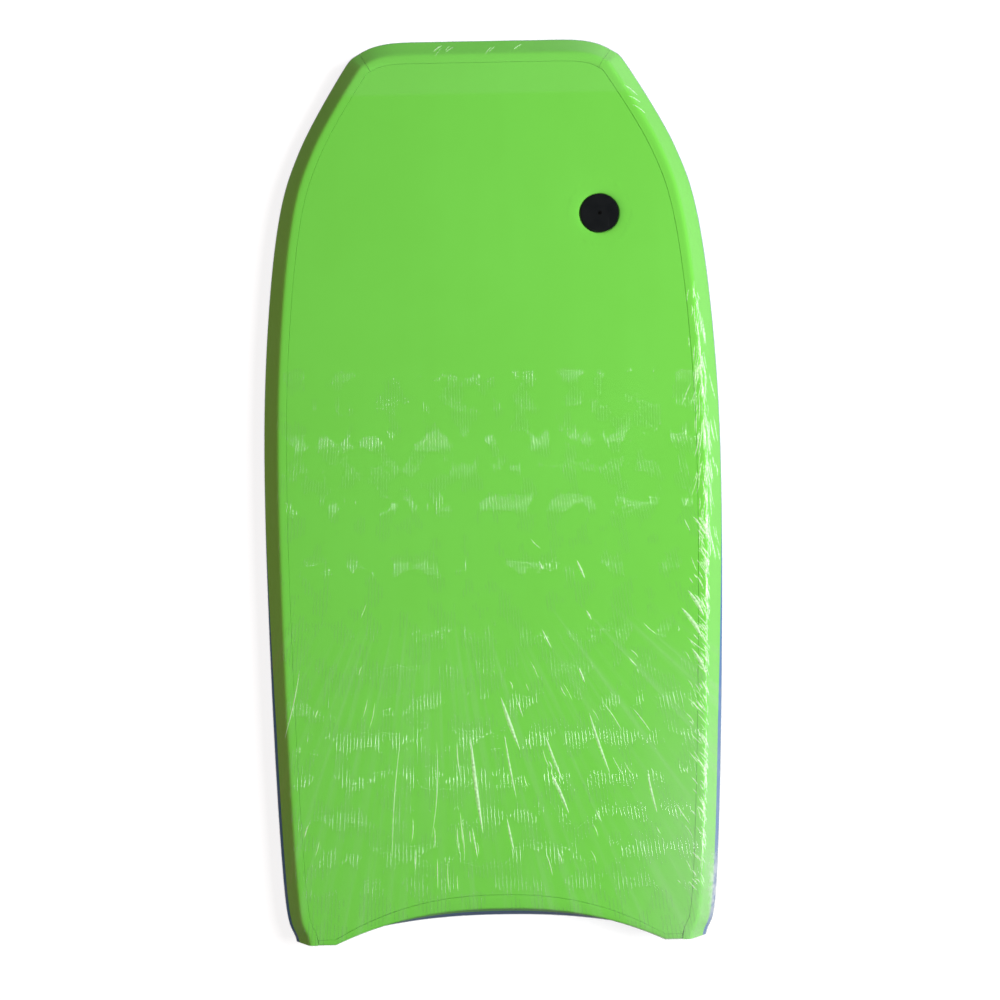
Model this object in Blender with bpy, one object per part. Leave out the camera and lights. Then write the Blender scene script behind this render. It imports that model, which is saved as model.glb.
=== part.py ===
"""A crescent-tail bodyboard with a screw-in leash plug, wrapped in clear shrink film.

The board lies on its slick bottom with the deck up: +Z up, +Y towards the nose, +X right, in metres.
The origin is on the floor at the middle of the board. The plug's screw and its seal have their
origins on the screw's axis.
"""

import math

import bmesh
import bpy
from mathutils import Vector

# Driving dimensions.
LENGTH = 0.941
HALF_WIDTH = 0.240
GAP = 0.0003  # between pieces that touch
FILM = 0.0003  # film, drawn thicker than the real one
SKIN = 0.0050  # foam skin of the deck and rails
SLICK = 0.0015  # hard plastic sheet under the board

# Heights of the layers.
SLICK_LOW = FILM + GAP
CORE_LOW = SLICK_LOW + SLICK + GAP
DECK_TOP = 0.0514
CORE_TOP = DECK_TOP - SKIN - GAP
RAIL_SEAM = 0.0310  # where the lower rail's skin meets the upper rail's
FILM_SEAM = 0.0235  # where the two films meet, at the widest line

# Half of the widest line seen from above, (x, y), from the tail to the middle of the nose.
NOSE = LENGTH / 2
SIDE_POINTS = [
    (0.2150, -0.4680),
    (0.2262, -0.4250),
    (0.2348, -0.2600),
    (HALF_WIDTH, -0.0200),
    (0.2362, 0.1400),
    (0.2215, 0.2800),
    (0.1972, 0.3600),
    (0.1509, 0.4400),
    (0.1315, 0.4595),
    (0.1010, NOSE - 0.0012),
    (0.0450, NOSE),
    (0.0000, NOSE),
]
NOSE_JOINT = (0.1315, 0.4595)  # where the rail strips meet the nose strips
STATION_SPACING = 0.040
LEAST_STATIONS = 3  # between two of the points above

# The rail in section, (inset from the widest line, height), from the bottom edge to the ridge.
RAIL_SECTION = [
    (0.0070, SLICK_LOW),
    (0.0020, 0.0160),
    (0.0004, 0.0215),
    (0.0000, 0.0235),
    (0.0003, 0.0255),
    (0.0012, 0.0270),
    (0.0172, 0.0491),
    (0.0190, 0.0508),
    (0.0208, DECK_TOP),
]
DECK_INSET = 0.0280  # from the widest line to the edge of the deck sheet

# The tail: two flat tips and a crescent between them, whose face slants out towards the bottom.
CRESCENT_HALF = 0.1700
CRESCENT_POWER = 2.3
TIP_TOP, TIP_BOTTOM = 0.4660, LENGTH / 2
DEPTH_TOP, DEPTH_BOTTOM = 0.0350, 0.0200
TIP_RIM, CRESCENT_RIM = 0.0060, 0.0144  # from the tail's edge to the edge of the deck sheet
TAIL_STEPS = 20
TIP_STEPS = 2

# The bottom rises towards the nose, and the deck stays flat.
ROCKER_START = 0.3400
ROCKER_RISE = 0.0160
ROCKER_ROWS = 7

# Leash plug.
PLUG_X, PLUG_Y = 0.1160, 0.2850
ROUND = 32  # sides of a round piece
DISC_RADIUS = 0.0200
DISC_TOP = DECK_TOP + 0.0010
DISC_LOW = DISC_TOP - 0.0032
SEAL = 0.0010
SEAL_INNER, SEAL_OUTER = 0.0102, 0.0172
DIMPLE_RADIUS = 0.0320
BORE_RADIUS = 0.0102
FLANGE_TOP = SLICK_LOW + 0.0022
SLEEVE_RADIUS, SLEEVE_TOP = 0.0095, 0.0430
SOCKET_LOW, SOCKET_RADIUS = 0.0060, 0.0073
CORD_HOLE, STEM_BORE = 0.0016, 0.0030
STEM_LOW = 0.0115
PITCH = 0.0050
THREAD_RADIUS, THREAD_DEPTH = 0.0055, 0.0007
THREAD_PLAY = 0.0005
THREAD_LOW, THREAD_HIGH = 0.0125, 0.0300
RINGS_PER_TURN = 6
SLOT = (0.0240, 0.0026, 0.0014)  # coin slot in the plug's base: length, width and depth


def clear_scene():
    for old in list(bpy.data.objects):
        bpy.data.objects.remove(old)


def material(name, color, roughness, alpha=1.0):
    made = bpy.data.materials.new(name)
    made.use_nodes = True
    shader = made.node_tree.nodes["Principled BSDF"]
    shader.inputs["Base Color"].default_value = (*color, 1.0)
    shader.inputs["Roughness"].default_value = roughness
    shader.inputs["Metallic"].default_value = 0.0
    shader.inputs["Alpha"].default_value = alpha
    return made


# Shape of the board.


def smooth_curve(points):
    """Points along a Catmull-Rom curve through the given ones."""
    first = points[0] * 2 - points[1]
    last = points[-1] * 2 - points[-2]
    padded = [first, *points, last]
    curve = []
    for a, b, c, d in zip(padded, padded[1:], padded[2:], padded[3:]):
        steps = max(LEAST_STATIONS, round((c - b).length / STATION_SPACING))
        for step in range(steps):
            t = step / steps
            bend = (2 * a - 5 * b + 4 * c - d) * t**2
            twist = (3 * b - a - 3 * c + d) * t**3
            curve.append((2 * b + (c - a) * t + bend + twist) / 2)
    curve.append(points[-1])
    return curve


def side_stations():
    """The right half of the widest line and its outward normals."""
    line = smooth_curve([Vector(p) for p in SIDE_POINTS])
    normals = []
    for i in range(len(line)):
        ahead = line[min(i + 1, len(line) - 1)]
        behind = line[max(i - 1, 0)]
        along = (ahead - behind).normalized()
        normals.append(Vector((along.y, -along.x)))
    normals[-1] = Vector((0.0, 1.0))
    return line, normals


SIDE_LINE, SIDE_NORMALS = side_stations()
NOSE_STATION = min(
    range(len(SIDE_LINE)),
    key=lambda i: (SIDE_LINE[i] - Vector(NOSE_JOINT)).length,
)


def rail_inset(height, depth=0.0):
    """How far in from the widest line the surface lies that is this deep under the skin."""
    insets = []
    for (low_in, low), (high_in, high) in zip(RAIL_SECTION, RAIL_SECTION[1:]):
        run, rise = high_in - low_in, high - low
        stretch = math.hypot(run, rise) / rise
        insets.append(low_in + run * (height - low) / rise + depth * stretch)
    return max(insets)


def crescent(x):
    """1 in the middle of the tail, 0 at its tips."""
    return max(0.0, 1.0 - (abs(x) / CRESCENT_HALF) ** CRESCENT_POWER)


def tail_y(x, height):
    """Where the face of the tail lies."""
    share = (height - SLICK_LOW) / (DECK_TOP - SLICK_LOW)
    tip = TIP_BOTTOM + (TIP_TOP - TIP_BOTTOM) * share
    depth = DEPTH_BOTTOM + (DEPTH_TOP - DEPTH_BOTTOM) * share
    return depth * crescent(x) - tip


def side_point(station, inset, height, tail_back=0.0):
    """A point of the right side. Its first station lies in the tail's face."""
    x, y = SIDE_LINE[station] - SIDE_NORMALS[station] * inset
    if station == 0:
        y = tail_y(x, height) + tail_back
    return Vector((x, y, height))


def mirrored(point):
    return Vector((-point.x, point.y, point.z))


def tail_xs(corner):
    """Places across the tail, between corners at this distance from the middle."""
    outer = [corner + (CRESCENT_HALF - corner) * i / TIP_STEPS for i in range(TIP_STEPS)]
    inner = [CRESCENT_HALF * (1 - 2 * i / TAIL_STEPS) for i in range(TAIL_STEPS + 1)]
    return outer + inner + [-x for x in reversed(outer)]


def outline(inset, height, tail_back=0.0, rim=False):
    """The board's closed outline at a height. With rim, it follows the edge of the deck sheet."""
    count = len(SIDE_LINE)
    right = [side_point(i, inset, height, tail_back) for i in range(count)]
    corner = right[0].x
    tail = []
    for x in tail_xs(corner):
        back = tail_back
        if rim:
            back += TIP_RIM + (CRESCENT_RIM - TIP_RIM) * crescent(x)
        tail.append(Vector((x, tail_y(x, height) + back, height)))
    left = [mirrored(p) for p in reversed(right[1:-1])]
    return right[1:] + left + list(reversed(tail))


def surface(height, depth):
    """The closed outline that lies this deep under the board's skin, at a height."""
    return outline(rail_inset(height, depth), height, depth)


# Making meshes.


def join_loops(bm, rows):
    """Faces between each loop of corners and the next one."""
    for low, high in zip(rows, rows[1:]):
        for i in range(len(low)):
            j = (i + 1) % len(low)
            bm.faces.new((low[i], low[j], high[j], high[i]))


def fill(bm, *loops):
    """A flat cap inside the first loop, with the second one as a hole in it."""
    edges = []
    for loop in loops:
        for a, b in zip(loop, loop[1:] + loop[:1]):
            edges.append(bm.edges.get((a, b)) or bm.edges.new((a, b)))
    bmesh.ops.triangle_fill(bm, edges=edges, use_beauty=True)


def corners(bm, loops):
    return [[bm.verts.new(p) for p in loop] for loop in loops]


def lift_nose(bm):
    """Raise the underside towards the nose, and leave the deck where it is."""
    for row in range(ROCKER_ROWS):
        y = ROCKER_START + (NOSE - ROCKER_START) * row / ROCKER_ROWS
        parts = bm.verts[:] + bm.edges[:] + bm.faces[:]
        bmesh.ops.bisect_plane(
            bm, geom=parts, dist=1e-6, plane_co=(0, y, 0), plane_no=(0, 1, 0)
        )
    for vert in bm.verts:
        along = max(0.0, (vert.co.y - ROCKER_START) / (NOSE - ROCKER_START))
        under = max(0.0, 1.0 - vert.co.z / DECK_TOP)
        vert.co.z += ROCKER_RISE * along**2 * under


def finish(name, bm, look, origin=(0, 0, 0), sharp=30.0):
    """Turn the mesh into a named object with its origin at the given place."""
    many_sided = [f for f in bm.faces if len(f.verts) > 4]
    bmesh.ops.triangulate(bm, faces=many_sided)
    bmesh.ops.recalc_face_normals(bm, faces=bm.faces)
    bmesh.ops.translate(bm, verts=bm.verts, vec=-Vector(origin))
    mesh = bpy.data.meshes.new(name)
    bm.to_mesh(mesh)
    bm.free()
    mesh.shade_smooth()
    mesh.set_sharp_from_angle(angle=math.radians(sharp))
    mesh.materials.append(look)
    made = bpy.data.objects.new(name, mesh)
    made.location = origin
    bpy.context.scene.collection.objects.link(made)
    return made


def layered_solid(name, look, loops, turned=None):
    """A solid through stacked outlines. Turned loops are a hole that joins its two caps."""
    bm = bmesh.new()
    rows = corners(bm, loops)
    join_loops(bm, rows)
    if turned:
        hole = corners(bm, turned)
        join_loops(bm, hole)
        fill(bm, rows[0], hole[0])
        fill(bm, rows[-1], hole[-1])
    else:
        fill(bm, rows[0])
        fill(bm, rows[-1])
    lift_nose(bm)
    return finish(name, bm, look)


def strip(name, look, sections):
    """A long solid through a row of closed sections."""
    bm = bmesh.new()
    rows = corners(bm, sections)
    join_loops(bm, rows)
    fill(bm, rows[0])
    fill(bm, rows[-1])
    lift_nose(bm)
    return finish(name, bm, look)


def circle(radius, height, x=PLUG_X, y=PLUG_Y):
    turns = [2 * math.pi * i / ROUND for i in range(ROUND)]
    return [Vector((x + radius * math.cos(a), y + radius * math.sin(a), height)) for a in turns]


def thread_circle(height, play):
    """One ring of a right-hand thread, whose radius swings once round the axis."""
    ring = []
    for i in range(ROUND):
        turn = 2 * math.pi * i / ROUND
        swing = math.cos(2 * math.pi * height / PITCH - turn)
        radius = THREAD_RADIUS + THREAD_DEPTH * swing + play
        ring.append(Vector((radius * math.cos(turn), radius * math.sin(turn), height)))
    return ring


def thread_heights(low, high):
    count = round((high - low) / PITCH * RINGS_PER_TURN)
    return [low + (high - low) * i / count for i in range(count + 1)]


# Core, deck and bottom.


def foam_core(look):
    heights = [CORE_LOW, 0.0090, 0.0160, 0.0215, 0.0235, 0.0255, 0.0450, CORE_TOP]
    loops = [surface(height, SKIN + GAP) for height in heights]
    hole = [
        circle(DIMPLE_RADIUS, CORE_LOW),
        circle(0.0260, CORE_LOW + 0.0008),
        circle(0.0212, 0.0062),
        circle(BORE_RADIUS, 0.0062),
        circle(BORE_RADIUS, 0.0443),
        circle(0.0212, 0.0443),
        circle(0.0260, CORE_TOP - 0.0005),
        circle(DIMPLE_RADIUS, CORE_TOP),
    ]
    layered_solid("foam_core", look, loops, hole)


def deck_skin(look):
    low = DECK_TOP - SKIN
    loops = [outline(DECK_INSET + GAP, height, rim=True) for height in (low, DECK_TOP)]
    hole = [
        circle(DIMPLE_RADIUS, low),
        circle(0.0262, low - 0.0004),
        circle(0.0212, 0.0446),
        circle(BORE_RADIUS, 0.0446),
        circle(BORE_RADIUS, 0.0476),
        circle(DISC_RADIUS + 0.0004, 0.0476),
        circle(DISC_RADIUS + 0.0006, 0.0497),
        circle(0.0228, 0.0507),
        circle(0.0266, 0.0512),
        circle(DIMPLE_RADIUS, DECK_TOP),
    ]
    layered_solid("deck_skin", look, loops, hole)


def slick_bottom(look):
    high = SLICK_LOW + SLICK
    loops = [surface(height, 0.0) for height in (SLICK_LOW, high)]
    hole = [
        circle(DIMPLE_RADIUS, SLICK_LOW),
        circle(0.0262, SLICK_LOW + 0.0008),
        circle(0.0214, 0.0044),
        circle(BORE_RADIUS, 0.0044),
        circle(BORE_RADIUS, 0.0059),
        circle(0.0210, 0.0059),
        circle(0.0256, high + 0.0008),
        circle(DIMPLE_RADIUS, high),
    ]
    layered_solid("slick_bottom", look, loops, hole)


# Skins of the rails, nose and tail.


def upper_section(station, slide):
    """The upper skin in section: up the outside, over the ridge and back down the inside."""
    outside = [RAIL_SEAM + GAP, 0.0491, 0.0508, DECK_TOP]
    inside = [DECK_TOP - SKIN, 0.0458, RAIL_SEAM + GAP - 0.0030]
    places = [(rail_inset(height), height) for height in outside]
    places += [(DECK_INSET, DECK_TOP), (DECK_INSET, DECK_TOP - SKIN)]
    places += [(rail_inset(height, SKIN), height) for height in inside]
    return [slide_along(side_point(station, *place), station, slide) for place in places]


def lower_section(station, slide):
    """The lower skin in section: up the outside and back down the inside."""
    outside = [CORE_LOW, 0.0090, 0.0160, 0.0215, 0.0235, 0.0255, 0.0270, RAIL_SEAM]
    inside = [RAIL_SEAM - 0.0030, 0.0255, 0.0235, 0.0215, 0.0160, 0.0090, CORE_LOW]
    places = [(rail_inset(height), height) for height in outside]
    places += [(rail_inset(height, SKIN), height) for height in inside]
    return [slide_along(side_point(station, *place), station, slide) for place in places]


def slide_along(point, station, distance):
    """Move a point along the side, so that strips end to end keep their gap."""
    along = Vector((-SIDE_NORMALS[station].y, SIDE_NORMALS[station].x, 0.0))
    return point + along * distance


def rail_strips(name, look, section):
    """A right and a left strip, from the tail to the nose strip."""
    sections = [section(i, 0.0) for i in range(NOSE_STATION)]
    sections.append(section(NOSE_STATION, -GAP / 2))
    strip(f"{name}_right", look, sections)
    strip(f"{name}_left", look, [[mirrored(p) for p in points] for points in sections])


def nose_strip(name, look, section):
    last = len(SIDE_LINE) - 1
    right = [section(NOSE_STATION, GAP / 2)]
    right += [section(i, 0.0) for i in range(NOSE_STATION + 1, last + 1)]
    left = [[mirrored(p) for p in points] for points in reversed(right[:-1])]
    strip(name, look, right + left)


def tail_section(column, places):
    """A section across the tail. Each place is (depth, height, inset of the rail beside it)."""
    section = []
    for depth, height, inset in places:
        corner = side_point(0, inset + GAP, height).x
        x = tail_xs(corner)[column]
        rim = TIP_RIM + (CRESCENT_RIM - TIP_RIM) * crescent(x) - GAP
        back = rim if depth is None else depth
        section.append(Vector((x, tail_y(x, height) + back, height)))
    return section


def tail_strip_upper(look):
    under = DECK_TOP - SKIN
    low, inner_low = RAIL_SEAM + GAP, RAIL_SEAM + GAP
    places = [
        (0.0, low, rail_inset(low, SKIN)),
        (0.0, CORE_TOP, rail_inset(CORE_TOP, SKIN)),
        (0.0, under, DECK_INSET),
        (0.0, DECK_TOP - 0.0012, DECK_INSET),
        (0.0008, DECK_TOP, DECK_INSET),
        (None, DECK_TOP, DECK_INSET),
        (None, under, DECK_INSET),
        (SKIN, under, DECK_INSET),
        (SKIN, CORE_TOP, rail_inset(CORE_TOP, SKIN)),
        (SKIN, inner_low, rail_inset(inner_low, SKIN)),
    ]
    count = len(tail_xs(HALF_WIDTH))
    strip("tail_strip_upper", look, [tail_section(i, places) for i in range(count)])


def tail_strip_lower(look):
    heights = [CORE_LOW, 0.0090, 0.0160, 0.0215, 0.0235, 0.0255, RAIL_SEAM]
    places = [(0.0, height, rail_inset(height, SKIN)) for height in heights]
    places += [(SKIN, height, rail_inset(height, SKIN)) for height in reversed(heights)]
    count = len(tail_xs(HALF_WIDTH))
    strip("tail_strip_lower", look, [tail_section(i, places) for i in range(count)])


# Leash plug.


def turned_solid(name, look, rings, ring_shaped, sharp=30.0):
    """A solid turned about the plug's axis, with its origin on that axis."""
    bm = bmesh.new()
    rows = corners(bm, rings)
    if ring_shaped:
        join_loops(bm, rows + rows[:1])
    else:
        join_loops(bm, rows)
        fill(bm, rows[0])
        fill(bm, rows[-1])
    made = finish(name, bm, look, sharp=sharp)
    made.location = (PLUG_X, PLUG_Y, 0.0)
    return made


def plug_ring(radius, height):
    return circle(radius, height, 0.0, 0.0)


def plug_screw(look):
    """The disc on the deck, with a threaded stem and a hole for the leash's cord."""
    rings = [
        plug_ring(CORD_HOLE, DISC_TOP - 0.0008),
        plug_ring(CORD_HOLE + 0.0009, DISC_TOP),
        plug_ring(DISC_RADIUS - 0.0014, DISC_TOP),
        plug_ring(DISC_RADIUS - 0.0004, DISC_TOP - 0.0004),
        plug_ring(DISC_RADIUS, DISC_TOP - 0.0012),
        plug_ring(DISC_RADIUS, DISC_LOW + 0.0004),
        plug_ring(DISC_RADIUS - 0.0004, DISC_LOW),
        plug_ring(0.0058, DISC_LOW),
        plug_ring(THREAD_RADIUS - THREAD_DEPTH, DISC_LOW - 0.0010),
        plug_ring(THREAD_RADIUS - THREAD_DEPTH, THREAD_HIGH + 0.0012),
    ]
    rings += [thread_circle(z, 0.0) for z in reversed(thread_heights(THREAD_LOW, THREAD_HIGH))]
    rings += [
        plug_ring(THREAD_RADIUS - THREAD_DEPTH, STEM_LOW),
        plug_ring(STEM_BORE, STEM_LOW),
        plug_ring(STEM_BORE, 0.0440),
        plug_ring(CORD_HOLE, 0.0460),
    ]
    turned_solid("plug_screw", look, rings, True)


def deck_seal(look):
    low = DISC_LOW - GAP - SEAL
    turned_seal("deck_seal", look, 0.0068, low)


def base_seal(look):
    turned_seal("base_seal", look, SEAL_INNER, FLANGE_TOP + GAP)


def turned_seal(name, look, inner, low):
    rings = [
        plug_ring(inner, low),
        plug_ring(inner, low + SEAL),
        plug_ring(SEAL_OUTER, low + SEAL),
        plug_ring(SEAL_OUTER, low),
    ]
    turned_solid(name, look, rings, True)


def coin_slot():
    """Cutter for the slot in the underside of the plug's base."""
    length, width, depth = SLOT
    bpy.ops.mesh.primitive_cube_add(size=1.0, location=(PLUG_X, PLUG_Y, SLICK_LOW))
    cutter = bpy.context.active_object
    cutter.name = "coin_slot_cutter"
    cutter.dimensions = (length, width, 2 * depth)
    cutter.hide_render = True
    cutter.display_type = "WIRE"
    return cutter


def plug_base(look):
    """The flange under the board, with the sleeve that the screw goes into."""
    rings = [
        plug_ring(DISC_RADIUS - 0.0006, SLICK_LOW),
        plug_ring(DISC_RADIUS, SLICK_LOW + 0.0006),
        plug_ring(DISC_RADIUS, FLANGE_TOP - 0.0004),
        plug_ring(DISC_RADIUS - 0.0004, FLANGE_TOP),
        plug_ring(SLEEVE_RADIUS, FLANGE_TOP),
        plug_ring(SLEEVE_RADIUS, SLEEVE_TOP - 0.0005),
        plug_ring(SLEEVE_RADIUS - 0.0005, SLEEVE_TOP),
        plug_ring(SOCKET_RADIUS, SLEEVE_TOP),
        plug_ring(SOCKET_RADIUS, THREAD_HIGH + 0.0008),
    ]
    female_low = THREAD_LOW - 0.0020
    heights = thread_heights(female_low, THREAD_HIGH)
    rings += [thread_circle(z, THREAD_PLAY) for z in reversed(heights)]
    rings += [
        plug_ring(SOCKET_RADIUS - 0.0006, female_low - 0.0010),
        plug_ring(SOCKET_RADIUS - 0.0006, SOCKET_LOW),
    ]
    base = turned_solid("plug_base", look, rings, False)
    cut = base.modifiers.new("coin_slot", "BOOLEAN")
    cut.operation = "DIFFERENCE"
    cut.solver = "EXACT"
    cut.object = coin_slot()


# Shrink film.


def film_top(look):
    """The film over the deck and upper rails, drawn tight over the plug's disc."""
    heights = [FILM_SEAM, 0.0255, 0.0270, 0.0491, 0.0508]
    inside = [surface(height, -GAP) for height in heights]
    outside = [surface(height, -GAP - FILM) for height in heights]
    inside.append(surface(DECK_TOP + GAP, -GAP))
    outside.append(surface(DECK_TOP + GAP + FILM, -GAP - FILM))
    bm = bmesh.new()
    rows = corners(bm, list(reversed(inside)) + outside)
    join_loops(bm, rows)
    for border, lift in ((rows[0], GAP), (rows[-1], GAP + FILM)):
        tent = [
            circle(DIMPLE_RADIUS + 0.0020, DECK_TOP + lift),
            circle(DISC_RADIUS + 0.0004, DISC_TOP - 0.0004 + lift),
            circle(DISC_RADIUS - 0.0014, DISC_TOP + lift),
        ]
        rings = corners(bm, tent)
        join_loops(bm, rings)
        fill(bm, border, rings[0])
        fill(bm, rings[-1])
    lift_nose(bm)
    finish("film_top", bm, look)


def film_bottom(look):
    """The film under the slick and over the lower rails."""
    heights = [0.0090, 0.0160, 0.0215, FILM_SEAM - FILM]
    inside = [surface(height, -GAP) for height in [SLICK_LOW - GAP] + heights]
    outside = [surface(height, -GAP - FILM) for height in [0.0] + heights]
    layered_solid("film_bottom", look, inside + outside[::-1])


def build_board():
    green = material("green_foam", (0.19, 0.64, 0.09), 0.55)
    white = material("white_beads", (0.86, 0.87, 0.86), 0.80)
    blue_foam = material("blue_foam", (0.10, 0.32, 0.62), 0.55)
    blue_slick = material("blue_slick", (0.08, 0.30, 0.64), 0.30)
    black = material("black_plastic", (0.006, 0.007, 0.008), 0.40)
    rubber = material("seal_foam", (0.03, 0.03, 0.03), 0.90)
    clear = material("clear_film", (0.95, 0.97, 0.96), 0.10, alpha=0.25)
    foam_core(white)
    deck_skin(green)
    slick_bottom(blue_slick)
    rail_strips("upper_rail", green, upper_section)
    rail_strips("lower_rail", blue_foam, lower_section)
    nose_strip("nose_strip_upper", green, upper_section)
    nose_strip("nose_strip_lower", blue_foam, lower_section)
    tail_strip_upper(green)
    tail_strip_lower(blue_foam)
    plug_screw(black)
    deck_seal(rubber)
    plug_base(black)
    base_seal(rubber)
    film_top(clear)
    film_bottom(clear)


clear_scene()
build_board()
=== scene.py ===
"""The looks of a crescent-tail bodyboard in clear shrink film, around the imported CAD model.

The foam skins and the slick are made again with fine, soft edges from the board's own dimensions.
The film is one thin sheet over the deck, one under the board and a piece over the leash plug's
disc, with folds pinched up along its tension lines and crinkles over the right rail.
"""

import math
import random

import bmesh
import bpy
import numpy as np
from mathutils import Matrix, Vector
from mathutils.bvhtree import BVHTree

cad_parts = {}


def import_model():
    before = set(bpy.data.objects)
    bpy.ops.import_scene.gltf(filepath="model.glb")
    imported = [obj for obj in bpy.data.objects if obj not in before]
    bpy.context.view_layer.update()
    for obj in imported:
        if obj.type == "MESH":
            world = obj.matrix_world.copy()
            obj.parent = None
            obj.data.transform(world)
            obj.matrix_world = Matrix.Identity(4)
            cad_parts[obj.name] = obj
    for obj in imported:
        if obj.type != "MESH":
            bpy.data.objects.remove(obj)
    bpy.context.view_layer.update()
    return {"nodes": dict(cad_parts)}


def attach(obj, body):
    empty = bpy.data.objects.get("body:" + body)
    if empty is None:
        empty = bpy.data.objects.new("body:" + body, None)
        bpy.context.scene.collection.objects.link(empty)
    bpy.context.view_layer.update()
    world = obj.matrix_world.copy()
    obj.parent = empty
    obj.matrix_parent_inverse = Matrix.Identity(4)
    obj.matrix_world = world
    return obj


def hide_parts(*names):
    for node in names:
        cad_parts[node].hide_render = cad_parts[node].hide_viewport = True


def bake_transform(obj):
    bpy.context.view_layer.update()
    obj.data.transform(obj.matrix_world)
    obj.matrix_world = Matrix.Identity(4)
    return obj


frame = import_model()

# Dimensions of the CAD model, in metres.
LENGTH = 0.941
NOSE = LENGTH / 2
GAP = 0.0003
FILM = 0.0003
SKIN = 0.0050
SLICK_LOW = FILM + GAP
SLICK_HIGH = SLICK_LOW + 0.0015
CORE_LOW = SLICK_HIGH + GAP
DECK_TOP = 0.0514
RAIL_SEAM = 0.0310
FILM_SEAM = 0.0235
DECK_INSET = 0.0280
SIDE_POINTS = [
    (0.2150, -0.4680),
    (0.2262, -0.4250),
    (0.2348, -0.2600),
    (0.2400, -0.0200),
    (0.2362, 0.1400),
    (0.2215, 0.2800),
    (0.1972, 0.3600),
    (0.1509, 0.4400),
    (0.1315, 0.4595),
    (0.1010, NOSE - 0.0012),
    (0.0450, NOSE),
    (0.0000, NOSE),
]
NOSE_JOINT = (0.1315, 0.4595)
RAIL_SECTION = [
    (0.0070, SLICK_LOW),
    (0.0020, 0.0160),
    (0.0004, 0.0215),
    (0.0000, 0.0235),
    (0.0003, 0.0255),
    (0.0012, 0.0270),
    (0.0172, 0.0491),
    (0.0190, 0.0508),
    (0.0208, DECK_TOP),
]
CRESCENT_HALF = 0.1700
CRESCENT_POWER = 2.3
TIP_TOP, TIP_BOTTOM = 0.4660, LENGTH / 2
DEPTH_TOP, DEPTH_BOTTOM = 0.0350, 0.0200
TIP_RIM, CRESCENT_RIM = 0.0060, 0.0144
ROCKER_START = 0.3400
ROCKER_RISE = 0.0160
PLUG = Vector((0.1160, 0.2850, 0.0))
DISC_RADIUS = 0.0200
DISC_TOP = DECK_TOP + 0.0010
PLUG_BORE = 0.0102
DIMPLE_RADIUS = 0.0320

# Fineness of the visual meshes.
SPACING = 0.0040
LEAST_STATIONS = 6
TAIL_STEPS = 64
TIP_STEPS = 6
ROCKER_ROWS = 12
SECTION_STEPS = 22
ROUND = 96
SOFTNESS = 0.00045  # how far the edges of the foam are rounded
SEAM_GAP = 0.0001  # what shows of the gap between deck sheet and rail skin
SEAM_LOW = 0.0252  # height of the seam between green and blue, from the nose to the middle
SEAM_LOW_FROM, SEAM_HIGH_FROM = -0.020, -0.250

# Film.
FILM_LIFT = 0.00045
FLOOR_LIFT = 0.0001  # how far the film under the board stays off the floor
FILM_OVERLAP = 0.0010  # how far each sheet reaches past the line where they meet
INNERMOST = 0.001  # size of the hole left in the middle of a sheet, as a share of its outline
PATCH_RADIUS = 0.0340
PATCH_OVERLAP = 0.0040
FAN_CENTRE = Vector((-0.064, 0.055))
RIDGE_SLOPE = 0.42
RIDGE_RATE = 1080.0

# Folds and creases, by number. Heights are shares of a fold's width.
FOLD_SEED = 11
FOLD_WIDENED, FOLD_HEIGHT = 1.4, 0.40
STRAND_HEIGHT = 0.35
CREASE_HEIGHT = 0.3
FAN_FOLDS = 70
# The strands on the ridge paint its highlight.
RIDGE_HIGHLIGHT_STRANDS = 105
LOOSE_STRANDS = 130
RAIL_CREASES = 190
RIDGE_INSET = 0.0190
NOSE_CREASES = 9

# Folds placed one by one: start, end, bow to the side and width.
MAIN_FOLDS = [
    ((0.005, -0.213), (0.023, -0.266), 0.0005, 0.0026),
    ((-0.027, -0.254), (-0.016, -0.353), 0.0010, 0.0026),
    ((0.008, -0.252), (0.019, -0.317), 0.0006, 0.0014),
    ((0.050, -0.253), (0.067, -0.300), 0.0006, 0.0018),
    ((0.055, -0.291), (0.073, -0.334), -0.0004, 0.0022),
    ((0.096, -0.231), (0.116, -0.293), 0.0010, 0.0020),
    ((0.086, -0.073), (0.094, -0.092), 0.0000, 0.0016),
    ((0.095, -0.125), (0.100, -0.135), 0.0000, 0.0014),
    ((0.048, -0.075), (0.050, -0.082), 0.0000, 0.0014),
    ((0.049, -0.144), (0.058, -0.163), 0.0003, 0.0012),
    ((0.086, -0.184), (0.092, -0.200), 0.0000, 0.0016),
    ((0.155, -0.294), (0.164, -0.335), 0.0006, 0.0016),
    ((0.009, -0.338), (0.016, -0.374), 0.0003, 0.0016),
    ((-0.027, -0.347), (-0.022, -0.378), 0.0002, 0.0012),
    ((-0.100, -0.258), (-0.110, -0.377), 0.0020, 0.0006),
    ((-0.062, -0.259), (-0.069, -0.357), -0.0030, 0.0006),
    ((-0.219, -0.251), (-0.202, -0.181), 0.0015, 0.0007),
    ((0.200, -0.106), (0.216, -0.133), -0.0010, 0.0026),
    ((0.193, -0.124), (0.214, -0.156), -0.0015, 0.0028),
    ((0.203, -0.166), (0.217, -0.192), -0.0010, 0.0024),
    ((0.144, 0.417), (0.158, 0.408), -0.0008, 0.0008),
    ((0.148, 0.405), (0.161, 0.400), -0.0006, 0.0007),
    ((0.152, 0.396), (0.165, 0.388), -0.0008, 0.0008),
]

# Colours, as linear values.
GREEN = (0.160, 0.585, 0.066)
GREEN_SHADE = (0.156, 0.572, 0.063)
BLUE = (0.035, 0.155, 0.390)
BLUE_SHADE = (0.032, 0.145, 0.360)
WARM = (1.0, 0.22, 0.06)
FOAM_ROUGHNESS = 0.55

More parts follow.
